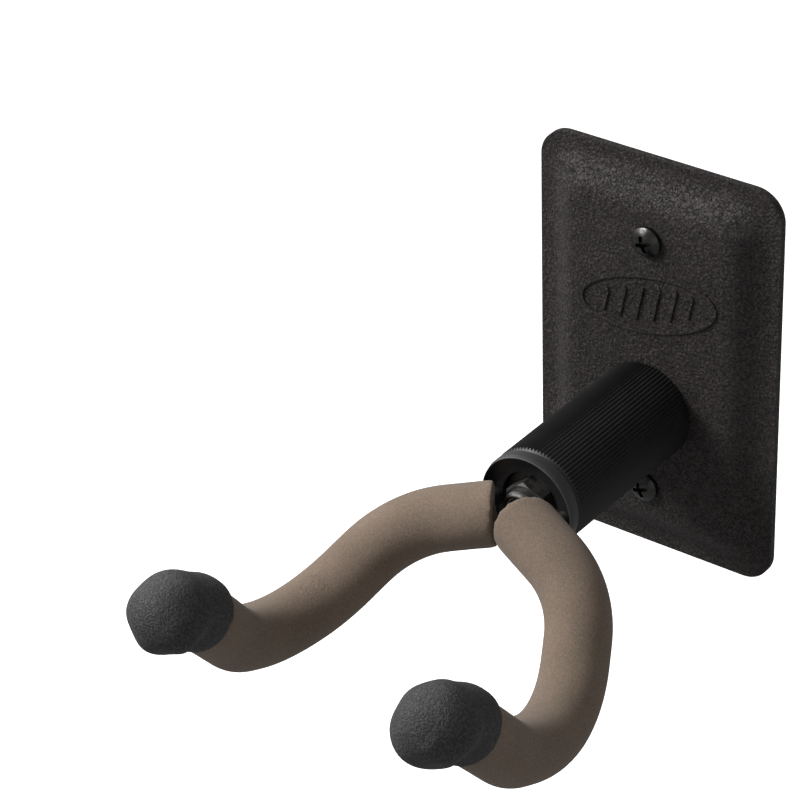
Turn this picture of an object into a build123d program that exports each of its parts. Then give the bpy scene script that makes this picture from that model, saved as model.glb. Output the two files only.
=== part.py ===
"""Wall guitar hanger: pressed plate, ribbed barrel and a swivelling padded yoke.

Origin: centre of the plate's back face, on the wall. +Z is up, -Y points out from the wall.
Distances called OUT are measured from the wall, so a point at OUT d has y = -d.
"""
import math
import os

from build123d import *

os.makedirs("parts", exist_ok=True)

# ---- plate -------------------------------------------------------------------------------
PLATE_H = 114.3          # overall height
PLATE_W = 71.0           # overall width
PLATE_CORNER_R = 8.2
SHEET_T = 2.0            # pressed steel sheet
FLANGE_W = 4.3           # flat rim that rests on the wall
SLOPE_W = 7.0            # width of the drawn slope between the rim and the panel
PANEL_OUT = 6.9          # front of the raised panel
SLOPE_CORNER_R = 7.0     # corner of the slope at the rim
PANEL_CORNER_R = 5.0     # corner of the slope at the panel
INSIDE_TIGHTER = 0.6     # how much smaller the slope's corners are on the sheet's back
PRESS_R = 9.0            # rounding of the panel's edge
FOOT_R = 8.0             # rounding of the slope's foot at the rim
SCREW_INSET = 9.35       # wall screw's middle to the panel's end

# ---- raised ornament: a tilted oval ring round a row of bars ------------------------------
EMBLEM_INSET = 3.2       # ring's end to the panel's side
EMBLEM_SHARE = 0.536     # ring's height in the room between the barrel and the top screw
EMBLEM_TILT = 12.0
EMBLEM_LINE = 1.3
EMBLEM_RELIEF = 0.45
EMBLEM_BARS = 6
BAR_SHARE = 0.62         # middle bar's length in the ring's height
BAR_TAPER = 0.8          # 0 for bars of one length
BAR_SPREAD = 0.36        # outermost bar in the ring's width

# ---- wall screws -------------------------------------------------------------------------
SCREW_R = 2.1
SCREW_CORE_R = 1.4
SCREW_NECK_R = 2.2       # tapers from the head to the shank, inside the plate
SCREW_NECK_END = 0.2
SCREW_LENGTH = 38.0      # under the head
SCREW_PLAIN = 13.0       # shank without thread
SCREW_POINT_L = 5.0
SCREW_THREAD_PITCH = 2.8
SCREW_HEAD_R = 4.1
SCREW_HEAD_H = 2.9
SCREW_HEAD_RIM = 1.1     # straight edge of the head
SCREW_HOLE_CLEAR = 0.35
CROSS_L = 4.6            # cross recess
CROSS_W = 1.1
CROSS_DEPTH = 1.7
CROSS_TURN = 20.0

# ---- barrel ------------------------------------------------------------------------------
SCREW_TO_AXIS = 23.7     # bottom wall screw up to the pivot axis
BARREL_R = 13.5
BARREL_L = 50.0
BARREL_RIBS = 84
RIB_DEPTH = 0.5
RIB_POINT = 1.1          # length of the pointed rib ends
FRONT_BEVEL = 0.2        # how far the front face lies inside the ribs' roots

# ---- pivot bolt, quarter inch, square neck and low round head ---------------------------
BOLT_R = 3.175
NUT_PROUD = 3.35         # nut's front past the hub's front
BOLT_HEAD_R = 9.5
BOLT_HEAD_H = 3.6
BOLT_HEAD_RIM = 0.9
NECK_SIDE = 6.7
NECK_DEPTH = 4.3
THREAD_LENGTH = 22.0
THREAD_PITCH = 1.25
THREAD_DEPTH = 0.6
BOLT_POINT = 0.5         # bolt's end to the first thread ridge
BOLT_CLEAR = 0.25

# ---- lock nut and washers --------------------------------------------------------------------
NUT_AF = 11.1
NUT_HEX_H = 4.2
NUT_H = 7.2
NUT_TURN = 37.0
NUT_COLLAR_R = 4.9
NUT_COLLAR_TOP_R = 4.2
NUT_COLLAR_EDGE = 1.1    # length of the collar's rounded front
NUT_CORNER_CUT = 0.55    # chamfer of the hexagon's corners
NUT_MOUTH = 0.4          # opening round the bolt's end
NUT_GROOVE_R = 4.3
INSERT_T = 1.7
INSERT_DEEP = 0.6        # insert behind the nut's front
WASHER_R = 8.0
WASHER_T = 1.6
WASHER_EDGE = 0.2
SPRING_T = 0.9
SPRING_H = 1.4
STUD_STANDOUT = 0.3      # bolt end past the nut

# ---- swivelling hub --------------------------------------------------------------------------
HUB_STEP = 0.394         # lip's outer edge inside the barrel's ribs
HUB_LIP = 0.2            # thickness of the lip at the front edge
HUB_FLANGE_T = 3.8
HUB_DISH_DEPTH = 2.0
HUB_SPIGOT_WALL = 1.32
HUB_WEB = 6.1            # hub's length round the bolt
BUSHING_WALL = 0.9
BUSHING_FLANGE_T = 0.5
BUSHING_PAST = 0.8       # bushing's back end behind the spigot
BUSHING_INSET = 0.4      # bushing's flange inside the hub's lip
HUB_EDGE = 0.3           # bevel of the hub's back edge
HUB_TAPER = 1.2          # length of the hub's tapered front edge
POCKET_CLEAR = 0.3       # round the washers in the hub's pocket

# ---- yoke: on each side a bent rod, a foam sleeve and a soft cap ----------------------------
ROD_R = 2.5
SLEEVE_R = 8.35
# Corners of the sleeve axis before rounding: distance to the side of the pivot axis, distance
# in front of a sleeve laid against the hub, and rise over the pivot axis.
SHOULDER = (27.0, 6.4, -7.0)
SADDLE_BACK = (40.6, 33.9, -28.0)
SADDLE_FRONT = (40.2, 57.4, -18.0)
TIP = (38.8, 73.9, 0.5)
BALL = (38.4, 82.3, 5.0)          # centre of the cap's ball
SHOULDER_R = 30.0                 # rounding of the three corners
SADDLE_BACK_R = 30.0
SADDLE_FRONT_R = 16.0
LEG_BEND_R = 7.0                  # bend from the leg into the sleeve
MITRE = (0.857, 0.515)            # sideways and out, square to the sleeve's cut inner end
INNER_GAP = 0.3                   # sleeve's inner end to the middle of the hanger
INNER_BACK = 0.9                  # sleeve's axis at its inner end, behind one laid on the hub
BORE_RUN_OUT = 3.0                # straight bore past the leg's foot
SLEEVE_PAST_TIP = 2.0
ROD_PAST_TIP = 8.0
CAP_WALL = 1.25                   # skirt's thickness over the sleeve
CAP_SKIRT_L = 3.0                 # skirt edge behind the tip corner
CAP_BULGE = 0.75                  # how much larger the ball is than the skirt

# ---- clearances ------------------------------------------------------------------------------
PRESS = 0.03             # between pressed or clamped round pieces
RUN = 0.08               # radial clearance of the turning fits
FACE = 0.05              # between faces that slide on each other
NECK_FIT = 0.15
PLAY = 0.35              # least gap between the nut and the rods
THROUGH = 1.0            # how far a cutting shape reaches past what it cuts

# ---- worked out from the sizes above ---------------------------------------------------------
SLOPE_FOOT_W = PLATE_W - 2 * FLANGE_W
SLOPE_FOOT_H = PLATE_H - 2 * FLANGE_W
PANEL_W = SLOPE_FOOT_W - 2 * SLOPE_W
PANEL_H = SLOPE_FOOT_H - 2 * SLOPE_W
SCREW_PITCH = PANEL_H - 2 * SCREW_INSET
AXIS_Z = SCREW_TO_AXIS - SCREW_PITCH / 2
EMBLEM_W = PANEL_W - 2 * EMBLEM_INSET
EMBLEM_H = EMBLEM_SHARE * (SCREW_PITCH / 2 - SCREW_HEAD_R - AXIS_Z - BARREL_R)
EMBLEM_Z = (AXIS_Z + BARREL_R + SCREW_PITCH / 2) / 2
PANEL_BACK = PANEL_OUT - SHEET_T
BARREL_FRONT = PANEL_OUT + BARREL_L
NUT_CORNER_R = NUT_AF / math.sqrt(3)
HUB_BACK = BARREL_FRONT + BUSHING_FLANGE_T + FACE
HUB_FRONT = HUB_BACK + HUB_FLANGE_T
HUB_DISH = HUB_FRONT - HUB_DISH_DEPTH
NUT_FRONT = HUB_FRONT + NUT_PROUD
BOLT_END = NUT_FRONT + STUD_STANDOUT
NUT_BACK = NUT_FRONT - NUT_H
NUT_STEP = NUT_BACK + NUT_HEX_H
WASHER_BACK = NUT_BACK - WASHER_T
SPRING_BACK = WASHER_BACK - SPRING_H
POCKET_FLOOR = SPRING_BACK - FACE
POCKET_R = max(WASHER_R, NUT_CORNER_R) + POCKET_CLEAR
SPIGOT_BACK = POCKET_FLOOR - HUB_WEB
SPIGOT_R = POCKET_R + HUB_SPIGOT_WALL
BUSHING_INNER_R = SPIGOT_R + RUN
BUSHING_R = BUSHING_INNER_R + BUSHING_WALL
BUSHING_BACK = SPIGOT_BACK - BUSHING_PAST
HUB_LIP_R = max(BARREL_R - HUB_STEP, NUT_CORNER_R + PLAY + 2 * ROD_R + FACE + HUB_LIP)
DISH_R = HUB_LIP_R - HUB_LIP
LEG_R = DISH_R - FACE - ROD_R            # from the pivot axis to the middle of a rod leg
HUB_R = HUB_LIP_R + HUB_EDGE
CAP_SKIRT_R = SLEEVE_R + CAP_WALL
CAP_BALL_R = CAP_SKIRT_R + CAP_BULGE
YOKE_OUT = HUB_FRONT + SLEEVE_R          # the yoke's corners are measured out from here
INNER_END = (SLEEVE_R * MITRE[1] + INNER_GAP, -INNER_BACK, 0.0)

AXIAL = Plane.XY.offset(AXIS_Z)
PIVOT = Axis((0, 0, AXIS_Z), (0, 1, 0))
SIDES = (("left", -1), ("right", 1))


def facing(out, z=0.0):
    """Plane parallel to the wall at OUT, looking away from it, centred at height z."""
    return Plane(origin=(0, -out, z), x_dir=(1, 0, 0), z_dir=(0, -1, 0))


def spun(*radius_out, height=AXIS_Z):
    """Solid turned about a horizontal axis at the given height, from (radius, OUT) pairs."""
    with BuildPart() as turned:
        with BuildSketch(Plane.XY.offset(height)):
            with BuildLine():
                Polyline(*[(radius, -out) for radius, out in radius_out], close=True)
            make_face()
        revolve(axis=Axis((0, 0, height), (0, 1, 0)))
    return turned.part


def finish(builder, name):
    """Label the piece and write it."""
    builder.part.label = name
    export_step(builder.part, f"parts/{name}.step")


# ---- backplate -------------------------------------------------------------------------------
slope_run = SLOPE_W / (PANEL_OUT - SHEET_T)
# how far the inner slope lies inside the outer one, so that the sheet keeps its thickness
inner_shift = SHEET_T * math.hypot(1, slope_run) - SHEET_T * slope_run

with BuildPart() as backplate:
    with BuildSketch(facing(0)):
        RectangleRounded(PLATE_W, PLATE_H, PLATE_CORNER_R)
    extrude(amount=SHEET_T)
    with BuildSketch(facing(SHEET_T)):
        RectangleRounded(SLOPE_FOOT_W, SLOPE_FOOT_H, SLOPE_CORNER_R)
    with BuildSketch(facing(PANEL_OUT)):
        RectangleRounded(PANEL_W, PANEL_H, PANEL_CORNER_R)
    loft()
    fillet(backplate.faces().sort_by(Axis.Y)[0].edges(), PRESS_R)
    rim_face = backplate.faces().filter_by(Axis.Y).sort_by(Axis.Y)[1]
    fillet(rim_face.inner_wires()[0].edges(), FOOT_R)
    with BuildSketch(facing(0)):
        RectangleRounded(SLOPE_FOOT_W - 2 * inner_shift, SLOPE_FOOT_H - 2 * inner_shift,
                         SLOPE_CORNER_R - INSIDE_TIGHTER)
    with BuildSketch(facing(PANEL_BACK)):
        RectangleRounded(PANEL_W - 2 * inner_shift, PANEL_H - 2 * inner_shift,
                         PANEL_CORNER_R - INSIDE_TIGHTER)
    loft(mode=Mode.SUBTRACT)
    with BuildSketch(facing(PANEL_BACK - THROUGH)):
        with Locations((0, SCREW_PITCH / 2), (0, -SCREW_PITCH / 2)):
            Circle(SCREW_R + SCREW_HOLE_CLEAR)
        with Locations((0, AXIS_Z)):
            Rectangle(NECK_SIDE + 2 * NECK_FIT, NECK_SIDE + 2 * NECK_FIT)
    extrude(amount=SHEET_T + 2 * THROUGH, mode=Mode.SUBTRACT)
    with BuildSketch(facing(PANEL_OUT, EMBLEM_Z)):
        Ellipse(EMBLEM_W / 2, EMBLEM_H / 2, rotation=EMBLEM_TILT)
        Ellipse(EMBLEM_W / 2 - EMBLEM_LINE, EMBLEM_H / 2 - EMBLEM_LINE, rotation=EMBLEM_TILT,
                mode=Mode.SUBTRACT)
        for bar in range(EMBLEM_BARS):
            place = (bar + 0.5) / EMBLEM_BARS * 2 - 1
            bar_length = EMBLEM_H * BAR_SHARE * math.sqrt(1 - BAR_TAPER * place**2)
            bar_x = place * EMBLEM_W * BAR_SPREAD
            with Locations(Location((bar_x, bar_x * math.tan(math.radians(EMBLEM_TILT))))):
                SlotOverall(bar_length, EMBLEM_LINE, rotation=90 - EMBLEM_TILT)
    extrude(amount=EMBLEM_RELIEF)
finish(backplate, "backplate")

# ---- barrel ----------------------------------------------------------------------------------
rib_outline = []
for step in range(2 * BARREL_RIBS):
    rib_radius = BARREL_R - RIB_DEPTH * (step % 2)
    rib_angle = math.pi * step / BARREL_RIBS
    rib_outline.append((rib_radius * math.cos(rib_angle), rib_radius * math.sin(rib_angle)))
front_r = BARREL_R - RIB_DEPTH - FRONT_BEVEL
rib_end = BARREL_FRONT - RIB_POINT

with BuildPart() as barrel:
    with BuildSketch(facing(PANEL_OUT, AXIS_Z)):
        Polygon(*rib_outline)
    extrude(amount=BARREL_L)
    add(spun((BARREL_R + THROUGH, rib_end - THROUGH), (BARREL_R + THROUGH, BARREL_FRONT + THROUGH),
             (front_r, BARREL_FRONT + THROUGH), (front_r, BARREL_FRONT)),
        mode=Mode.SUBTRACT)
    with BuildSketch(facing(PANEL_OUT, AXIS_Z)):
        Circle(BOLT_R + BOLT_CLEAR)
    extrude(amount=BARREL_L, mode=Mode.SUBTRACT)
    with BuildSketch(facing(PANEL_OUT, AXIS_Z)):
        Rectangle(NECK_SIDE + 2 * NECK_FIT, NECK_SIDE + 2 * NECK_FIT)
    extrude(amount=NECK_DEPTH - SHEET_T + NECK_FIT, mode=Mode.SUBTRACT)
    with BuildSketch(facing(BUSHING_BACK, AXIS_Z)):
        Circle(BUSHING_R + PRESS)
    extrude(amount=BARREL_FRONT - BUSHING_BACK, mode=Mode.SUBTRACT)
finish(barrel, "barrel")

# ---- pivot bolt ------------------------------------------------------------------------------
head_edge = PANEL_BACK - BOLT_HEAD_RIM
head_top = PANEL_BACK - BOLT_HEAD_H
thread_root_r = BOLT_R - THREAD_DEPTH
bolt_outline = [(0, head_top), (0, BOLT_END), (thread_root_r, BOLT_END)]
for turn in range(int(THREAD_LENGTH / THREAD_PITCH)):
    ridge_out = BOLT_END - BOLT_POINT - THREAD_PITCH * turn
    bolt_outline.append((BOLT_R, ridge_out - 0.35 * THREAD_PITCH))
    bolt_outline.append((BOLT_R, ridge_out - 0.5 * THREAD_PITCH))
    bolt_outline.append((thread_root_r, ridge_out - 0.9 * THREAD_PITCH))
bolt_outline.append((BOLT_R, BOLT_END - THREAD_LENGTH - THREAD_PITCH))
bolt_outline.append((BOLT_R, PANEL_BACK))
bolt_outline.append((BOLT_HEAD_R, PANEL_BACK))
bolt_outline.append((BOLT_HEAD_R, head_edge))

with BuildPart() as pivot_bolt:
    with BuildSketch(AXIAL):
        with BuildLine():
            Polyline(*[(radius, -out) for radius, out in bolt_outline])
            TangentArc((0, -head_top), (BOLT_HEAD_R, -head_edge), tangent=(1, 0))
        make_face()
    revolve(axis=PIVOT)
    with BuildSketch(facing(PANEL_BACK, AXIS_Z)):
        Rectangle(NECK_SIDE, NECK_SIDE)
    extrude(amount=NECK_DEPTH)
finish(pivot_bolt, "pivot_bolt")

# ---- flanged bushing between barrel and hub ----------------------------------------------------
bushing_flange_r = HUB_LIP_R - BUSHING_INSET
bushing_front = BARREL_FRONT + BUSHING_FLANGE_T

with BuildPart() as hub_bushing:
    add(spun((BUSHING_INNER_R, BUSHING_BACK + FACE), (BUSHING_R, BUSHING_BACK + FACE),
             (BUSHING_R, BARREL_FRONT), (bushing_flange_r, BARREL_FRONT),
             (bushing_flange_r, bushing_front), (BUSHING_INNER_R, bushing_front)))
finish(hub_bushing, "hub_bushing")

# ---- hub ---------------------------------------------------------------------------------------
with BuildPart() as yoke_hub:
    add(spun((BOLT_R + RUN, SPIGOT_BACK), (SPIGOT_R, SPIGOT_BACK), (SPIGOT_R, HUB_BACK),
             (HUB_LIP_R, HUB_BACK), (HUB_R, HUB_BACK + HUB_EDGE),
             (HUB_R, HUB_FRONT - HUB_TAPER), (HUB_LIP_R, HUB_FRONT), (DISH_R, HUB_FRONT),
             (DISH_R, HUB_DISH), (POCKET_R, HUB_DISH), (POCKET_R, POCKET_FLOOR),
             (BOLT_R + RUN, POCKET_FLOOR)))
finish(yoke_hub, "yoke_hub")

# ---- washers -------------------------------------------------------------------------------------
washer_bore_r = BOLT_R + BOLT_CLEAR
washer_face_r = WASHER_R - WASHER_EDGE

with BuildPart() as spring_washer:
    add(spun((washer_bore_r, SPRING_BACK), (washer_bore_r, SPRING_BACK + SPRING_T),
             (washer_face_r, WASHER_BACK), (washer_face_r, WASHER_BACK - SPRING_T)))
finish(spring_washer, "spring_washer")

with BuildPart() as flat_washer:
    add(spun((washer_bore_r, WASHER_BACK), (washer_face_r, WASHER_BACK),
             (WASHER_R, WASHER_BACK + WASHER_EDGE), (WASHER_R, NUT_BACK - WASHER_EDGE),
             (washer_face_r, NUT_BACK), (washer_bore_r, NUT_BACK)))
finish(flat_washer, "flat_washer")

# ---- lock nut and its nylon ring --------------------------------------------------------------------
insert_front = NUT_FRONT - INSERT_DEEP
insert_back = insert_front - INSERT_T
corner_cut = NUT_CORNER_CUT * (NUT_CORNER_R - NUT_AF / 2)
mouth_r = BOLT_R + NUT_MOUTH
collar_mid_r = NUT_COLLAR_R - 0.3 * (NUT_COLLAR_R - NUT_COLLAR_TOP_R)
collar_mid = NUT_FRONT - 0.4 * NUT_COLLAR_EDGE

with BuildPart() as lock_nut:
    with BuildSketch(facing(NUT_BACK, AXIS_Z)):
        RegularPolygon(NUT_CORNER_R, 6, rotation=NUT_TURN)
    extrude(amount=NUT_HEX_H)
    add(spun((0, NUT_BACK), (NUT_AF / 2, NUT_BACK), (NUT_CORNER_R, NUT_BACK + corner_cut),
             (NUT_CORNER_R, NUT_STEP - corner_cut), (NUT_AF / 2, NUT_STEP), (0, NUT_STEP)),
        mode=Mode.INTERSECT)
    add(spun((BOLT_R, NUT_STEP), (NUT_COLLAR_R, NUT_STEP),
             (NUT_COLLAR_R, NUT_FRONT - NUT_COLLAR_EDGE), (collar_mid_r, collar_mid),
             (NUT_COLLAR_TOP_R, NUT_FRONT), (mouth_r, NUT_FRONT), (mouth_r, insert_front)))
    with BuildSketch(facing(NUT_BACK, AXIS_Z)):
        Circle(BOLT_R + PRESS)
    extrude(amount=NUT_H, mode=Mode.SUBTRACT)
    with BuildSketch(facing(insert_back, AXIS_Z)):
        Circle(NUT_GROOVE_R)
    extrude(amount=INSERT_T, mode=Mode.SUBTRACT)
finish(lock_nut, "lock_nut")

insert_r = NUT_GROOVE_R - PRESS
insert_bore_r = BOLT_R + PRESS

with BuildPart() as lock_nut_insert:
    add(spun((insert_bore_r, insert_back + PRESS), (insert_r, insert_back + PRESS),
             (insert_r, insert_front - PRESS), (insert_bore_r, insert_front - PRESS)))
finish(lock_nut_insert, "lock_nut_insert")

# ---- wall screws --------------------------------------------------------------------------------------
head_front = PANEL_OUT + SCREW_HEAD_H
screw_tip = PANEL_OUT - SCREW_LENGTH
thread_start = PANEL_OUT - SCREW_PLAIN
head_rim = PANEL_OUT + SCREW_HEAD_RIM
ridges = int((SCREW_LENGTH - SCREW_PLAIN - SCREW_POINT_L) / SCREW_THREAD_PITCH)


def screw_outline():
    """Neck, shank, thread ridges and point, from the head's seat down to the tip."""
    outline = [(0, PANEL_OUT), (SCREW_NECK_R, PANEL_OUT), (SCREW_R, SCREW_NECK_END)]
    outline.append((SCREW_R, thread_start))
    for ridge in range(ridges):
        start = thread_start - SCREW_THREAD_PITCH * ridge
        outline.append((SCREW_CORE_R, start - 0.3 * SCREW_THREAD_PITCH))
        outline.append((SCREW_CORE_R, start - 0.7 * SCREW_THREAD_PITCH))
        outline.append((SCREW_R, start - 0.95 * SCREW_THREAD_PITCH))
        outline.append((SCREW_R, start - SCREW_THREAD_PITCH))
    outline.append((SCREW_CORE_R, thread_start - SCREW_THREAD_PITCH * (ridges + 0.3)))
    outline.append((0, screw_tip))
    return outline


for name, height in (("top_wall_screw", SCREW_PITCH / 2), ("bottom_wall_screw", -SCREW_PITCH / 2)):
    with BuildPart() as wall_screw:
        add(spun(*screw_outline(), height=height))
        with BuildSketch(Plane.XY.offset(height)):
            with BuildLine():
                Polyline((0, -head_front), (0, -PANEL_OUT), (SCREW_HEAD_R, -PANEL_OUT),
                         (SCREW_HEAD_R, -head_rim))
                TangentArc((0, -head_front), (SCREW_HEAD_R, -head_rim), tangent=(1, 0))
            make_face()
        revolve(axis=Axis((0, 0, height), (0, 1, 0)))
        with BuildSketch(facing(head_front - CROSS_DEPTH, height)):
            Rectangle(CROSS_L, CROSS_W, rotation=CROSS_TURN)
            Rectangle(CROSS_W, CROSS_L, rotation=CROSS_TURN)
        extrude(amount=CROSS_DEPTH + THROUGH, mode=Mode.SUBTRACT)
    finish(wall_screw, name)


# ---- arms ---------------------------------------------------------------------------------------------
def at(point, side):
    """A corner of the yoke on the left or the right arm."""
    return Vector(side * point[0], -(YOKE_OUT + point[1]), AXIS_Z + point[2])


def run_plane(start, end, distance=0.0):
    """Plane square to the run from start to end, a distance along it."""
    along = (end - start).normalized()
    return Plane(origin=start + along * distance, z_dir=along)


def leg_join(side):
    """Point of the sleeve axis that lies straight in front of the leg's foot."""
    start = at(INNER_END, 1)
    along = (at(SHOULDER, 1) - start).normalized()
    square = along.X**2 + along.Z**2
    reach = start.X * along.X
    distance = (math.sqrt(reach**2 - square * (start.X**2 - LEG_R**2)) - reach) / square
    point = start + along * distance
    return Vector(side * point.X, point.Y, point.Z)


def rod_route(side, past_tip):
    """Corners of the rod's axis, from inside the hub to a distance past the tip corner."""
    join = leg_join(side)
    front = at(SADDLE_FRONT, side)
    tip = at(TIP, side)
    foot = Vector(join.X, THROUGH - HUB_DISH, join.Z)
    end = tip + (tip - front).normalized() * past_tip
    return foot, join, at(SHOULDER, side), at(SADDLE_BACK, side), front, end


def make_rod(side):
    with BuildPart() as rod:
        add(swept_rod(rod_route(side, ROD_PAST_TIP), ROD_R))
        split(bisect_by=facing(HUB_DISH), keep=Keep.TOP)
    return rod


def swept_rod(route, radius):
    """Round bar along a rod route."""
    with BuildPart() as bar:
        with BuildLine() as axis_line:
            FilletPolyline(*route, radius=(LEG_BEND_R, SHOULDER_R, SADDLE_BACK_R, SADDLE_FRONT_R))
        with BuildSketch(Plane(origin=route[0], z_dir=axis_line.line % 0)):
            Circle(radius)
        sweep(path=axis_line.wire())
    return bar.part


def make_sleeve(side):
    inner = at(INNER_END, side)
    shoulder = at(SHOULDER, side)
    front = at(SADDLE_FRONT, side)
    tip = at(TIP, side)
    start = inner - (shoulder - inner).normalized() * SLEEVE_R
    end = tip + (tip - front).normalized() * SLEEVE_PAST_TIP
    route = (start, shoulder, at(SADDLE_BACK, side), front, end)
    cut = Plane(origin=inner, z_dir=(side * MITRE[0], -MITRE[1], 0))
    with BuildPart() as sleeve:
        with BuildLine() as axis_line:
            FilletPolyline(*route, radius=(SHOULDER_R, SADDLE_BACK_R, SADDLE_FRONT_R))
        with BuildSketch(Plane(origin=start, z_dir=axis_line.line % 0)):
            Circle(SLEEVE_R)
        sweep(path=axis_line.wire())
        split(bisect_by=cut, keep=Keep.TOP)
        with BuildSketch(run_plane(start, shoulder)):
            Circle(ROD_R + PRESS)
        extrude(amount=(leg_join(side) - start).length + BORE_RUN_OUT, mode=Mode.SUBTRACT)
        add(swept_rod(rod_route(side, ROD_PAST_TIP + THROUGH), ROD_R + PRESS), mode=Mode.SUBTRACT)
    return sleeve


def make_cap(side):
    front = at(SADDLE_FRONT, side)
    tip = at(TIP, side)
    ball = at(BALL, side)
    rim = run_plane(tip, tip + (tip - front), -CAP_SKIRT_L)
    with BuildPart() as cap:
        with BuildSketch(rim):
            Circle(CAP_SKIRT_R)
        extrude(amount=CAP_SKIRT_L)
        with Locations(run_plane(tip, tip + (tip - front))):
            Sphere(CAP_SKIRT_R)
        with Locations(run_plane(ball, ball + (ball - tip))):
            Sphere(CAP_BALL_R)
        with BuildSketch(run_plane(tip, ball)):
            Circle(CAP_SKIRT_R)
        with BuildSketch(run_plane(tip, ball, (ball - tip).length)):
            Circle(CAP_BALL_R)
        loft()
        split(bisect_by=rim, keep=Keep.TOP)
        with BuildSketch(rim):
            Circle(SLEEVE_R + PRESS)
        extrude(amount=CAP_SKIRT_L + SLEEVE_PAST_TIP + PRESS, mode=Mode.SUBTRACT)
        with BuildSketch(rim):
            Circle(ROD_R + PRESS)
        extrude(amount=CAP_SKIRT_L + ROD_PAST_TIP + PRESS, mode=Mode.SUBTRACT)
    return cap


for side_name, side in SIDES:
    finish(make_rod(side), f"{side_name}_arm_rod")
    finish(make_sleeve(side), f"{side_name}_arm_sleeve")
    finish(make_cap(side), f"{side_name}_end_cap")
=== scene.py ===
"""Looks of the wall guitar hanger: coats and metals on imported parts, foam sleeves, soft caps."""

import math

import bpy
import numpy as np
from mathutils import Euler, Matrix, Vector


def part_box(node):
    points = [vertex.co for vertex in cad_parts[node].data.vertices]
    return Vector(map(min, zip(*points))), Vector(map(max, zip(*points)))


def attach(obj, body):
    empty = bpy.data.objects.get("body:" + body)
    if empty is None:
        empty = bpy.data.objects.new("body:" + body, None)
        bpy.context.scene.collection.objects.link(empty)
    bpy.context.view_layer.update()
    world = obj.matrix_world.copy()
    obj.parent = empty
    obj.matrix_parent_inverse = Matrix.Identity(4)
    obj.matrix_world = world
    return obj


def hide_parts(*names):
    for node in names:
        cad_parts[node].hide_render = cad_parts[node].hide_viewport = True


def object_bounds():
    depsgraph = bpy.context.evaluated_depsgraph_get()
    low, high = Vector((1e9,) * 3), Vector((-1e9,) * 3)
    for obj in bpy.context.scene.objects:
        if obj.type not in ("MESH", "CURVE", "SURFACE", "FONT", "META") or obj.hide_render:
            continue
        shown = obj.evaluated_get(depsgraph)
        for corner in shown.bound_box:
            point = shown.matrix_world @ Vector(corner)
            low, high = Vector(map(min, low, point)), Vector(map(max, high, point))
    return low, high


bl_info = {
    "name": "Wall guitar hanger",
    "version": (1, 0, 0),
    "blender": (4, 5, 0),
    "location": "3D View > Sidebar > Hanger",
    "description": "Finishes a wall guitar hanger with foam sleeves and soft caps",
    "category": "Object",
}

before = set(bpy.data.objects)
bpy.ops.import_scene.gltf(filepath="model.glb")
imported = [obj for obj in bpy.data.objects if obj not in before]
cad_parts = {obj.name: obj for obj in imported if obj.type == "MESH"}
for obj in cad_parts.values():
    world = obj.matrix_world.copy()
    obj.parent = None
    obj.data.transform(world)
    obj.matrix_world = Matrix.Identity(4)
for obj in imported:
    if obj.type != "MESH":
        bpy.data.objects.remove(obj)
CAD_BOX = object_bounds()
SIDES = ("left", "right")

# directions on the yoke
# END_WAY points out of a sleeve's inner end
END_WAY = {"left": (0.857, 0.515, 0.0), "right": (-0.857, 0.515, 0.0)}
CAP_BACK = (0.0, 0.88, -0.47)  # from a cap's ball towards its skirt
CAP_UNDER = (0.50, -0.41, -0.76)  # to the side of a cap that is drawn in

# shaping of the soft pieces, in metres unless it says otherwise
SLEEVE_SOFTEN, CAP_SOFTEN = 16, 6  # smoothing passes
WELD = 1e-6
SLEEVE_CORE, CAP_CORE = 0.0055, 0.0080  # nearer to the axis than this nothing is drawn in
CORE_EDGE = 0.0009
PINCH_AT, PINCH_WIDTH = 0.0042, 0.0030  # along the cap, from the ball's middle
PINCH_NARROWING = 2.5  # a power: larger keeps the pinch to a narrower strip
FOAM_PINCH = 1.1  # the foam is drawn in by this share of the cap's pinch
HOLLOW_WAY = (0.42, -0.62, -0.66)  # from the ball's middle to its hollow, in ball radii
HOLLOW_WIDTH, HOLLOW_SHARE = 0.0035, 0.35
DENT_SIZE, DENT_SEED = 0.0115, 7
DENT_END, DENT_FADE = 0.006, 0.004  # along the cap
DENT_CORE, DENT_CORE_EDGE = 0.004, 0.002  # away from the cap's axis
SWELL_SIZE = 0.03
FOLD_WIDTH = 0.0042
FOLD_BACK, FOLD_UP = 0.0045, 0.0200  # from the cap's back edge and the sleeve's lowest point
END_REACH, END_PUSH = 0.004, 0.0002
END_LEAN = {"left": 0.0012, "right": 0.0}
LEAN_DROP, LEAN_REACH = 0.0085, 0.008  # below the sleeve's highest point
# CREASE_SHARE is of the sleeve's box; the right sleeve's lies far outside it, so it shows no creases
CREASE_SHARE = {"left": (0.276, 0.556, 0.377), "right": (-4.724, 0.556, 0.377)}


# ---- sizes and colours -----------------------------------------------------------------------
class HangerSizes(bpy.types.PropertyGroup):
    sleeve_facet: bpy.props.FloatProperty(
        name="Sleeve facet", description="Size of the foam's faces before they are divided",
        default=0.00063, unit="LENGTH")
    cap_facet: bpy.props.FloatProperty(
        name="Cap facet", description="Size of the cap's faces before they are divided",
        default=0.00065, unit="LENGTH")
    swell: bpy.props.FloatProperty(
        name="Foam swell", description="Soft unevenness of the foam's surface",
        default=0.00012, unit="LENGTH")
    fold_depth: bpy.props.FloatProperty(
        name="Fold depth", description="How far the foam folds in at the tight bend by the cap",
        default=0.0016, unit="LENGTH")
    pinch_depth: bpy.props.FloatProperty(
        name="Pinch depth", description="How far the cap is drawn in under its ball",
        default=0.0025, unit="LENGTH")
    dent_depth: bpy.props.FloatProperty(
        name="Dent depth", description="Soft dents of the cap's ball",
        default=0.0008, unit="LENGTH")


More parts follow.
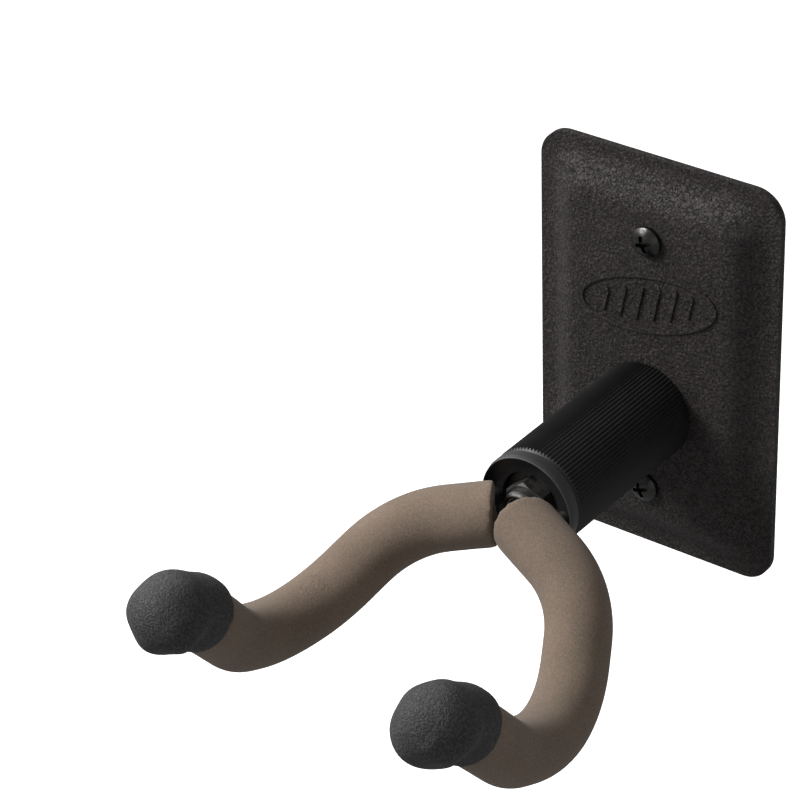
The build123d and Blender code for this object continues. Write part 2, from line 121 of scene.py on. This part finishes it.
class HangerColours(bpy.types.PropertyGroup):
    coat: bpy.props.FloatVectorProperty(
        name="Plate coat", description="Wrinkle coat on the plate", subtype="COLOR",
        size=3, default=(0.023, 0.0195, 0.0185), min=0, max=1)
    black: bpy.props.FloatVectorProperty(
        name="Black", description="Anodised barrel and hub", subtype="COLOR",
        size=3, default=(0.014, 0.014, 0.015), min=0, max=1)
    zinc: bpy.props.FloatVectorProperty(
        name="Zinc", description="Bolt, nut and washers", subtype="COLOR",
        size=3, default=(0.13, 0.125, 0.12), min=0, max=1)
    foam: bpy.props.FloatVectorProperty(
        name="Foam", description="Sleeves of the yoke", subtype="COLOR",
        size=3, default=(0.158, 0.118, 0.089), min=0, max=1)
    cap: bpy.props.FloatVectorProperty(
        name="Cap", description="Soft end caps", subtype="COLOR",
        size=3, default=(0.036, 0.0345, 0.0345), min=0, max=1)


class HangerStage(bpy.types.PropertyGroup):
    azimuth: bpy.props.FloatProperty(
        name="Azimuth", description="Camera's turn to the right of straight on",
        default=math.radians(37.262), subtype="ANGLE", unit="ROTATION")
    elevation: bpy.props.FloatProperty(
        name="Elevation", description="Camera's angle above the horizon",
        default=math.radians(31.878), subtype="ANGLE", unit="ROTATION")
    roll: bpy.props.FloatProperty(
        name="Roll", description="Camera's turn about its own line of sight",
        default=math.radians(-1.771), subtype="ANGLE", unit="ROTATION")
    place: bpy.props.FloatVectorProperty(
        name="Place", description="Where the camera stands",
        size=3, default=(0.42038, -0.66369, 0.47538), subtype="TRANSLATION")
    lens: bpy.props.FloatProperty(
        name="Lens", description="Focal length on a 36 mm sensor, in millimetres",
        default=160.62, min=1)
    floor_drop: bpy.props.FloatProperty(
        name="Floor drop", description="Floor's depth under the hanger",
        default=0.3, unit="LENGTH")


# ---- shader maths ----------------------------------------------------------------------------
class Value:
    """An output socket. Arithmetic on it adds Math nodes."""

    def __init__(self, look, socket):
        self.look = look
        self.socket = socket

    def math(self, operation, *others):
        return self.look.node("ShaderNodeMath", {"operation": operation},
                              **{str(i): v for i, v in enumerate((self, *others))})

    def __add__(self, other):
        return self.math("ADD", other)

    __radd__ = __add__

    def __sub__(self, other):
        return self.math("SUBTRACT", other)

    def __rsub__(self, other):
        return self.look.node("ShaderNodeMath", {"operation": "SUBTRACT"},
                              **{"0": other, "1": self})

    def __mul__(self, other):
        return self.math("MULTIPLY", other)

    def __pow__(self, other):
        return self.math("POWER", other)

    def clamp(self):
        return self.math("MAXIMUM", 0.0).math("MINIMUM", 1.0)

    def ramp(self, low, high):
        """0 below low, 1 above high, smooth between."""
        return self.look.node("ShaderNodeMapRange", {"interpolation_type": "SMOOTHSTEP"},
                              Value=self, **{"From Min": low, "From Max": high})


class Look:
    """A material and the nodes that make it."""

    def __init__(self, name):
        self.material = bpy.data.materials.new(name)
        self.material.use_nodes = True
        self.tree = self.material.node_tree
        self.tree.nodes.clear()
        self.shader = self.tree.nodes.new("ShaderNodeBsdfPrincipled")
        output = self.tree.nodes.new("ShaderNodeOutputMaterial")
        self.tree.links.new(self.shader.outputs["BSDF"], output.inputs["Surface"])

    def plug(self, socket, value):
        if isinstance(value, Value):
            self.tree.links.new(value.socket, socket)
        elif hasattr(socket.default_value, "__len__") and len(value) < len(socket.default_value):
            socket.default_value = (*value, 1.0)
        else:
            socket.default_value = value

    def node(self, kind, settings=None, out=0, **inputs):
        """Adds a node, sets it up, feeds its sockets and gives its output."""
        made = self.tree.nodes.new(kind)
        for name, value in (settings or {}).items():
            setattr(made, name, value)
        for name, value in inputs.items():
            key = int(name) if name.isdigit() else name.replace("_", " ")
            self.plug(made.inputs[key], value)
        return Value(self, made.outputs[out])

    def place(self):
        """Where a point of the surface is, in metres."""
        return self.node("ShaderNodeTexCoord", out="Object")

    def axes(self, place):
        """The three numbers of a place."""
        split = self.node("ShaderNodeSeparateXYZ", Vector=place)
        outputs = split.socket.node.outputs
        return [Value(self, outputs[i]) for i in range(3)]

    def stretched(self, place, scale):
        return self.node("ShaderNodeMapping", Vector=place, Scale=scale)

    def noise(self, place, size, detail=2.0, distortion=0.0):
        """Noise whose features are about this size, in metres."""
        return self.node("ShaderNodeTexNoise", Vector=place, Scale=1 / size, Detail=detail,
                         Distortion=distortion)

    def cells(self, place, size, feature="F1"):
        return self.node("ShaderNodeTexVoronoi", {"feature": feature}, out="Distance",
                         Vector=place, Scale=1 / size)

    def mix(self, amount, first, second):
        """Colour between two colours."""
        made = self.tree.nodes.new("ShaderNodeMix")
        made.data_type = "RGBA"
        self.plug(made.inputs["Factor"], amount)
        self.plug(made.inputs[6], first)
        self.plug(made.inputs[7], second)
        return Value(self, made.outputs[2])

    def bump(self, height, depth, strength=1.0):
        return self.node("ShaderNodeBump", out="Normal", Height=height, Distance=depth,
                         Strength=strength)

    def finish(self, **sockets):
        for name, value in sockets.items():
            self.plug(self.shader.inputs[name.replace("_", " ")], value)
        return self.material


def shade(colour, amount):
    """A colour made lighter or darker."""
    return tuple(min(1.0, c * amount) for c in colour)


def wear(material, *nodes):
    """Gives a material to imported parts."""
    for node in nodes:
        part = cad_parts[node]
        part.data.materials.clear()
        part.data.materials.append(material)


# ---- finishes --------------------------------------------------------------------------------
def wrinkle_coat(colour):
    """Powder coat with a fine wrinkle, a little duller in patches."""
    look = Look("wrinkle_coat")
    place = look.place()
    wrinkle = look.noise(place, 0.0013, 3.0, 1.1)
    crack = (wrinkle - 0.5).math("ABSOLUTE").ramp(0.0, 0.055)
    lump = look.cells(place, 0.00085, "SMOOTH_F1").ramp(0.1, 0.6)
    grit = look.noise(place, 0.0005, 3.0)
    patch = look.noise(place, 0.018, 3.0)
    # Painted shade: the crack lines and the edges between the lumps, low in the bump, are painted
    # darker.
    tone = (crack * 0.45 + (grit - 0.5) * 2.2 + patch * 0.3 - lump * 0.2 + 0.1).clamp()
    paint = look.mix(tone, shade(colour, 0.2), shade(colour, 2.2))
    gloss = 0.6 - crack * 0.06 + patch * 0.08
    relief = crack * 0.45 + grit * 0.45 - lump * 0.35
    return look.finish(Base_Color=paint, Roughness=gloss, Specular_IOR_Level=0.25,
                       Normal=look.bump(relief, 0.0005, 1.0))


def ribbed_black(colour):
    """Black anodised aluminium, a little dusty in patches."""
    look = Look("ribbed_black")
    place = look.place()
    grain = look.noise(look.stretched(place, (1.0, 0.06, 1.0)), 0.0004, 3.0)
    dust = look.noise(place, 0.006, 4.0)
    paint = look.mix((grain * 0.5 + dust * 0.6 - 0.15).clamp(),
                     shade(colour, 0.5), shade(colour, 1.4))
    return look.finish(Base_Color=paint, Roughness=0.44 + dust * 0.16, Specular_IOR_Level=0.4,
                       Normal=look.bump(grain, 0.00003, 0.5))


def satin_black(colour, front):
    """The hub's satin black, with scuffed bright metal along its front lip that also serves as a
    painted highlight, and painted shade on the face inside the rim.
    """
    look = Look("satin_black")
    place = look.place()
    x, y, z = look.axes(place)
    low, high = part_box("yoke_hub")
    radius = (x * x + (z - (low.z + high.z) / 2) ** 2).math("SQRT")
    outer = radius.ramp(high.x - 0.00045, high.x - 0.00036)
    lip = outer * (1 - y.ramp(front + 0.0001, front + 0.00045))
    turned = look.noise(look.stretched(place, (1.0, 20.0, 1.0)), 0.003, 3.0)
    scuff = look.noise(place, 0.002, 4.0)
    # Lip strip: scuffed bare metal, also standing in as a painted highlight along the rim's edge.
    lip_metal_and_highlight = (lip * (0.05 + scuff * 0.35)).clamp()
    # Painted shade: the face inside the rim, set back in the barrel's mouth, gets a darker copy of
    # the black, and the outer wall a lighter one.
    inside = 1 - radius.ramp(high.x - 0.0009, high.x - 0.0006)
    black = look.mix(inside, shade(colour, 1.5), shade(colour, 0.35))
    paint = look.mix(lip_metal_and_highlight, black, (0.25, 0.25, 0.26))
    return look.finish(Base_Color=paint, Metallic=lip_metal_and_highlight * 0.8,
                       Roughness=0.42 + turned * 0.14,
                       Normal=look.bump(turned, 0.00002, 0.4))


def zinc_steel(name, colour, roughness, dirt):
    """Plated steel with a fine grain, darker where dirt has settled."""
    look = Look(name)
    place = look.place()
    grain = look.noise(look.stretched(place, (1.0, 1.0, 0.2)), 0.0003, 4.0)
    stain = look.noise(place, 0.0016, 5.0, 0.4).ramp(0.42, 0.72)
    paint = look.mix(stain * dirt, shade(colour, 1.1), shade(colour, 0.3))
    return look.finish(Base_Color=paint, Metallic=1.0 - stain * 0.25 * dirt,
                       Roughness=roughness + stain * 0.2 + grain * 0.08,
                       Normal=look.bump(grain, 0.00002, 0.5))


def plain_nylon(name, colour, clear):
    """Moulded nylon with a faint flow pattern."""
    look = Look(name)
    place = look.place()
    flow = look.noise(place, 0.003, 3.0, 0.6)
    paint = look.mix(flow, shade(colour, 0.8), shade(colour, 1.2))
    return look.finish(Base_Color=paint, Roughness=0.42 + flow * 0.1, Subsurface_Weight=clear,
                       Subsurface_Scale=0.002, Normal=look.bump(flow, 0.00004, 0.3))


def coated_bar(colour):
    """Thin black coat on the bent bars, lightly scuffed."""
    look = Look("coated_bar")
    place = look.place()
    scuff = look.noise(place, 0.0008, 4.0)
    paint = look.mix(scuff.ramp(0.5, 0.8), shade(colour, 1.0), shade(colour, 2.2))
    return look.finish(Base_Color=paint, Roughness=0.4 + scuff * 0.15,
                       Normal=look.bump(scuff, 0.00004, 0.5))


def taupe_foam(name, colour, crease_at):
    """Skinned foam: fine speckle, soft mottling, and faint creases at one place, darkened with
    painted shade.
    """
    look = Look(name)
    place = look.place()
    speck = look.noise(place, 0.00042, 3.0)
    pore = look.cells(place, 0.0006)
    mottle = look.noise(place, 0.012, 3.0)
    tone = (speck * 1.1 - 0.25 + pore * 0.25 + (mottle - 0.5) * 0.5).clamp()
    paint = look.mix(tone, shade(colour, 0.6), shade(colour, 1.4))
    near = look.node("ShaderNodeVectorMath", {"operation": "DISTANCE"}, out="Value",
                     **{"0": place, "1": crease_at})
    line = look.noise(look.stretched(place, (3.0, 0.45, 1.2)), 0.0011, 1.0, 0.3)
    crease = (1 - (line - 0.5).math("ABSOLUTE").ramp(0.0, 0.045)) * (1 - near.ramp(0.0025, 0.0065))
    relief = speck * 0.5 + pore * 0.3 - crease * 0.9
    # Painted shade: the crease lines are painted darker.
    paint = look.mix(crease * 0.35, paint, shade(colour, 0.45))
    return look.finish(Base_Color=paint, Roughness=0.84 + speck * 0.1, Sheen_Weight=0.12,
                       Specular_IOR_Level=0.2, Sheen_Roughness=0.55, Sheen_Tint=(0.9, 0.85, 0.8),
                       Normal=look.bump(relief, 0.00011, 0.6))


def pebbled_cap(colour):
    """Soft rubber with a fine raised grain, with painted shade in its pits and paler paint on its
    peaks.
    """
    look = Look("pebbled_cap")
    place = look.place()
    grain = look.noise(place, 0.0005, 3.0)
    fine = look.noise(place, 0.00028, 3.0)
    broad = look.noise(place, 0.007, 3.0)
    peak = grain.ramp(0.36, 0.66)
    # Painted shade and highlight: the grain's colour follows its bump, darker in the pits and paler
    # on the peaks.
    paint = look.mix((peak * 0.75 + fine * 0.25 + (broad - 0.5) * 0.3).clamp(),
                     shade(colour, 0.5), shade(colour, 1.75))
    return look.finish(Base_Color=paint, Roughness=0.62 + fine * 0.16 - peak * 0.05,
                       Specular_IOR_Level=0.3,
                       Normal=look.bump(peak * 0.75 + fine * 0.25, 0.00022, 0.9))


# ---- soft pieces -----------------------------------------------------------------------------
def only(piece):
    """Selects one object and nothing else."""
    bpy.ops.object.select_all(action="DESELECT")
    piece.select_set(True)
    bpy.context.view_layer.objects.active = piece


def apply(piece, kind, **settings):
    """Adds a modifier and applies it."""
    only(piece)
    modifier = piece.modifiers.new(kind.lower(), kind)
    for name, value in settings.items():
        setattr(modifier, name, value)
    bpy.ops.object.modifier_apply(modifier=modifier.name)


def soft_copy(node, name, facet, soften):
    """Even, rounded copy of a packed soft part."""
    piece = bpy.data.objects.new(name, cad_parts[node].data.copy())
    bpy.context.collection.objects.link(piece)
    piece.data.materials.clear()
    only(piece)
    bpy.ops.object.mode_set(mode="EDIT")
    bpy.ops.mesh.select_all(action="SELECT")
    bpy.ops.mesh.remove_doubles(threshold=WELD)
    bpy.ops.mesh.normals_make_consistent(inside=False)
    bpy.ops.object.mode_set(mode="OBJECT")
    apply(piece, "REMESH", mode="VOXEL", voxel_size=facet, adaptivity=0.0)
    apply(piece, "SMOOTH", factor=0.5, iterations=soften)
    return piece


def points_of(piece):
    points = np.zeros(len(piece.data.vertices) * 3)
    piece.data.vertices.foreach_get("co", points)
    return points.reshape(-1, 3)


def normals_of(piece):
    normals = np.zeros(len(piece.data.vertices) * 3, np.float32)
    piece.data.vertices.foreach_get("normal", normals)
    return normals.reshape(-1, 3).astype(float)


def set_points(piece, points):
    piece.data.vertices.foreach_set("co", points.ravel())
    piece.data.update()


def bell(distance, width):
    """1 at distance 0, falling smoothly to almost nothing at two widths."""
    return np.exp(-(distance / width) ** 2)


def rolling(points, size, seed):
    """Soft unevenness from -1 to 1, from a few crossed waves."""
    turn = np.random.default_rng(seed)
    total = np.zeros(len(points))
    for _ in range(6):
        way = turn.normal(size=3)
        way /= np.linalg.norm(way)
        phase = points @ way * (2 * math.pi / size) * turn.uniform(0.7, 1.4)
        total += np.sin(phase + turn.uniform(0, 6.3))
    return total / 6


def done(piece, node, material):
    """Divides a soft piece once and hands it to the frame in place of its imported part."""
    apply(piece, "SUBSURF", levels=1, render_levels=1)
    piece.data.materials.append(material)
    only(piece)
    bpy.ops.object.shade_smooth()
    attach(piece, "yoke")
    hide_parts(node)


def bend_place(side):
    """Where the inside of the tight bend by the cap lies."""
    low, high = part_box(f"{side}_arm_sleeve")
    cap_low, cap_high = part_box(f"{side}_end_cap")
    return np.array([(cap_low.x + cap_high.x) / 2, cap_high.y + FOLD_BACK,
                     low.z + FOLD_UP])


def ball_of(side):
    """The middle and the radius of the ball at the cap's end."""
    low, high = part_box(f"{side}_end_cap")
    radius = (high.x - low.x) / 2
    return np.array([(low.x + high.x) / 2, low.y + radius, high.z - radius]), radius


def pinch_of(side, points, core):
    """How strongly points outside a core are drawn in, how far along the cap and from its axis."""
    ball, _ = ball_of(side)
    back = np.array(CAP_BACK)
    under = np.array(CAP_UNDER)
    along = (points - ball) @ back
    across = points - ball - along[:, None] * back
    reach = np.linalg.norm(across, axis=1)
    below = np.clip((across @ under) / np.maximum(reach, 1e-6), 0, 1)
    skin = np.clip((reach - core) / CORE_EDGE, 0, 1)
    pinch = bell(along - PINCH_AT, PINCH_WIDTH) * below ** PINCH_NARROWING * skin
    return pinch, along, reach


class HANGER_OT_sleeves(bpy.types.Operator):
    """Make the two foam sleeves of the yoke"""

    bl_idname = "hanger.sleeves"
    bl_label = "Foam sleeves"

    def execute(self, context):
        sizes, colours = context.scene.hanger_sizes, context.scene.hanger_colours
        for seed, side in enumerate(SIDES):
            node = f"{side}_arm_sleeve"
            piece = soft_copy(node, f"{side}_foam_sleeve", sizes.sleeve_facet,
                              SLEEVE_SOFTEN)
            points, normals = points_of(piece), normals_of(piece)
            fold = bell(np.linalg.norm(points - bend_place(side), axis=1), FOLD_WIDTH)
            points -= normals * (fold * sizes.fold_depth)[:, None]
            pinch, _, _ = pinch_of(side, points, SLEEVE_CORE)
            points -= normals * (pinch * sizes.pinch_depth * FOAM_PINCH)[:, None]
            points += normals * (rolling(points, SWELL_SIZE, seed) * sizes.swell)[:, None]
            low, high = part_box(node)
            inward = np.array(END_WAY[side])
            end = 1 - np.clip(((points @ inward).max() - points @ inward) / END_REACH, 0, 1)
            under = np.clip((high.z - LEAN_DROP - points[:, 2]) / LEAN_REACH, 0, 1)
            points += inward * (end * (END_PUSH + END_LEAN[side] * under))[:, None]
            set_points(piece, points)
            crease_at = tuple(np.array(low) + np.array(high - low) * np.array(CREASE_SHARE[side]))
            foam = taupe_foam(f"taupe_foam_{side}", colours.foam, crease_at)
            done(piece, node, foam)
        return {"FINISHED"}


class HANGER_OT_caps(bpy.types.Operator):
    """Make the two soft caps over the sleeves' ends"""

    bl_idname = "hanger.caps"
    bl_label = "End caps"

    def execute(self, context):
        sizes, colours = context.scene.hanger_sizes, context.scene.hanger_colours
        material = pebbled_cap(colours.cap)
        for seed, side in enumerate(SIDES):
            node = f"{side}_end_cap"
            piece = soft_copy(node, f"{side}_soft_cap", sizes.cap_facet, CAP_SOFTEN)
            ball, radius = ball_of(side)
            points, normals = points_of(piece), normals_of(piece)
            pinch, along, reach = pinch_of(side, points, CAP_CORE)
            points -= normals * (pinch * sizes.pinch_depth)[:, None]
            hollow = np.linalg.norm(points - ball - radius * np.array(HOLLOW_WAY), axis=1)
            points -= normals * (bell(hollow, HOLLOW_WIDTH) * sizes.pinch_depth
                                 * HOLLOW_SHARE)[:, None]
            ball_side = (np.clip((DENT_END - along) / DENT_FADE, 0, 1)
                         * np.clip((reach - DENT_CORE) / DENT_CORE_EDGE, 0, 1))
            dents = rolling(points, DENT_SIZE, DENT_SEED + seed) * ball_side
            points += normals * (dents * sizes.dent_depth)[:, None]
            set_points(piece, points)
            done(piece, node, material)
        return {"FINISHED"}


class HANGER_OT_plate(bpy.types.Operator):
    """Coat the pressed plate and blacken its two screws"""

    bl_idname = "hanger.plate"
    bl_label = "Plate and screws"

    def execute(self, context):
        colours = context.scene.hanger_colours
        wear(wrinkle_coat(colours.coat), "backplate")
        wear(zinc_steel("black_zinc", (0.055, 0.053, 0.052), 0.24, 0.4),
             "top_wall_screw", "bottom_wall_screw")
        return {"FINISHED"}


class HANGER_OT_barrel(bpy.types.Operator):
    """Finish the ribbed barrel, its bushing and the hub"""

    bl_idname = "hanger.barrel"
    bl_label = "Barrel and hub"

    def execute(self, context):
        colours = context.scene.hanger_colours
        wear(ribbed_black(colours.black), "barrel")
        wear(satin_black(colours.black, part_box("yoke_hub")[0].y), "yoke_hub")
        wear(plain_nylon("black_nylon", (0.03, 0.03, 0.031), 0.0), "hub_bushing")
        return {"FINISHED"}


class HANGER_OT_fastening(bpy.types.Operator):
    """Finish the bolt, the lock nut and the washers"""

    bl_idname = "hanger.fastening"
    bl_label = "Bolt and nut"

    def execute(self, context):
        colours = context.scene.hanger_colours
        wear(zinc_steel("zinc_steel", colours.zinc, 0.42, 0.6), "pivot_bolt", "lock_nut",
             "spring_washer", "flat_washer")
        wear(plain_nylon("clear_nylon", (0.55, 0.58, 0.62), 0.2), "lock_nut_insert")
        return {"FINISHED"}


class HANGER_OT_rods(bpy.types.Operator):
    """Coat the two bent bars"""

    bl_idname = "hanger.rods"
    bl_label = "Bent bars"

    def execute(self, context):
        wear(coated_bar(context.scene.hanger_colours.black), "left_arm_rod", "right_arm_rod")
        return {"FINISHED"}


def soft_light(name, way, distance, size, power):
    """A square lamp this far from the hanger in a direction, turned to it."""
    low, high = CAD_BOX
    centre = (low + high) / 2
    lamp = bpy.data.lights.new(name, "AREA")
    lamp.size, lamp.energy = size, power
    stand = bpy.data.objects.new(name, lamp)
    bpy.context.collection.objects.link(stand)
    way = Vector(way).normalized()
    stand.location = centre + way * distance
    stand.rotation_euler = (-way).to_track_quat("-Z", "Y").to_euler()


class HANGER_OT_stage(bpy.types.Operator):
    """Set up the floor, the lights and the camera"""

    bl_idname = "hanger.stage"
    bl_label = "Stage"

    def execute(self, context):
        stage = context.scene.hanger_stage
        low, high = CAD_BOX
        bpy.ops.object.select_all(action="DESELECT")
        bpy.ops.mesh.primitive_plane_add(size=12.0, location=(0.0, 0.0, low.z - stage.floor_drop))
        floor = context.active_object
        floor.name = "floor"
        bpy.ops.object.transform_apply(location=True)
        look = Look("pale_floor")
        floor.data.materials.append(look.finish(
            Base_Color=(0.9, 0.9, 0.9), Roughness=0.9, Emission_Color=(1.0, 1.0, 1.0),
            Emission_Strength=0.62))
        floor.visible_diffuse = False
        floor.visible_glossy = False
        world = bpy.data.worlds.new("studio")
        world.use_nodes = True
        world.node_tree.nodes["Background"].inputs["Color"].default_value = (1.0, 1.0, 1.0, 1.0)
        world.node_tree.nodes["Background"].inputs["Strength"].default_value = 0.34
        context.scene.world = world
        soft_light("key", (-0.72, -0.45, 0.72), 0.9, 0.35, 12.0)
        soft_light("rim", (-0.9, 0.15, 0.35), 0.8, 0.3, 2.0)
        soft_light("fill", (0.7, -0.9, 0.2), 1.1, 0.6, 0.4)
        lens = bpy.data.cameras.new("camera")
        lens.lens, lens.sensor_width = stage.lens, 36.0
        camera = bpy.data.objects.new("camera", lens)
        context.collection.objects.link(camera)
        turn = Euler((math.pi / 2 - stage.elevation, 0.0, stage.azimuth)).to_matrix()
        camera.matrix_world = (Matrix.Translation(stage.place)
                               @ (turn @ Matrix.Rotation(stage.roll, 3, "Z")).to_4x4())
        context.scene.camera = camera
        context.scene.view_settings.view_transform = "Standard"
        return {"FINISHED"}


STEPS = ("plate", "barrel", "fastening", "rods", "sleeves", "caps", "stage")


class HANGER_PT_panel(bpy.types.Panel):
    """Sizes, colours and steps of the hanger"""

    bl_idname = "HANGER_PT_panel"
    bl_label = "Wall guitar hanger"
    bl_space_type = "VIEW_3D"
    bl_region_type = "UI"
    bl_category = "Hanger"

    def draw(self, context):
        scene = context.scene
        for group in (scene.hanger_sizes, scene.hanger_colours, scene.hanger_stage):
            for name in group.__annotations__:
                self.layout.prop(group, name)
        for step in STEPS:
            self.layout.operator(f"hanger.{step}")


CLASSES = (HangerSizes, HangerColours, HangerStage, HANGER_OT_sleeves, HANGER_OT_caps,
           HANGER_OT_plate, HANGER_OT_barrel, HANGER_OT_fastening, HANGER_OT_rods,
           HANGER_OT_stage, HANGER_PT_panel)


def register():
    for part in CLASSES:
        bpy.utils.register_class(part)
    bpy.types.Scene.hanger_sizes = bpy.props.PointerProperty(type=HangerSizes)
    bpy.types.Scene.hanger_colours = bpy.props.PointerProperty(type=HangerColours)
    bpy.types.Scene.hanger_stage = bpy.props.PointerProperty(type=HangerStage)


def unregister():
    del bpy.types.Scene.hanger_stage
    del bpy.types.Scene.hanger_colours
    del bpy.types.Scene.hanger_sizes
    for part in reversed(CLASSES):
        bpy.utils.unregister_class(part)


def main():
    register()
    for step in STEPS:
        getattr(bpy.ops.hanger, step)()


if __name__ == "__main__":
    main()
